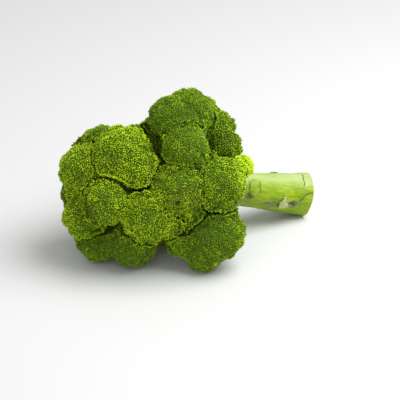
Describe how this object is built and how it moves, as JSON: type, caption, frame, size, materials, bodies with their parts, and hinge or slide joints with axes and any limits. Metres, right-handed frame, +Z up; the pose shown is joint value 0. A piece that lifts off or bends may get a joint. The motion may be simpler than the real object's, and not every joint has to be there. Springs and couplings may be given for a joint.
{
  "type": "broccoli head",
  "caption": "Fresh broccoli head lying on its side: a cut stalk with leaf stubs, forked branches and rounded florets of tight green buds.",
  "frame": {"origin": "under the middle of the whole head, on the surface it rests on", "axes": "+Z up, +X towards the cut end of the stalk, the crown towards -X"},
  "size_m": [0.235, 0.1592, 0.1445],
  "materials": {
    "stalk": "pale yellow-green waxy skin, satin gloss, paler on top",
    "branch": "pale green smooth skin, satin",
    "buds": "matte tight flower buds, lighter yellow-green on the rims of the clusters, dark between them",
    "stub": "dull, torn leaf scar with a darker rim"
  },
  "bodies": {
    "root": {"stalk": "stalk", "leaf_stub_near": "stub", "leaf_stub_top": "stub", "leaf_stub_far": "stub", "leaf_stub_collar": "stub", "floret_tip_top": "buds", "branch_tip_top": "branch", "floret_tip_end": "buds", "branch_tip_end": "branch", "floret_tip_near": "buds", "branch_tip_near": "branch", "floret_tip_low": "buds", "branch_tip_low": "branch", "floret_tip_far": "buds", "branch_tip_far": "branch", "floret_upper": "buds", "branch_upper": "branch", "floret_upper_back": "buds", "branch_upper_back": "branch", "floret_upper_far": "buds", "branch_upper_far": "branch", "floret_near_high": "buds", "branch_near_high": "branch", "floret_near_middle": "buds", "branch_near_middle": "branch", "floret_near_back": "buds", "branch_near_back": "branch", "floret_near_shoot": "buds", "branch_near_shoot": "branch", "floret_near_low": "buds", "branch_near_low": "branch", "floret_far_high": "buds", "branch_far_high": "branch", "floret_far_low": "buds", "branch_far_low": "branch", "floret_under": "buds", "branch_under": "branch"}
  },
  "joints": []
}
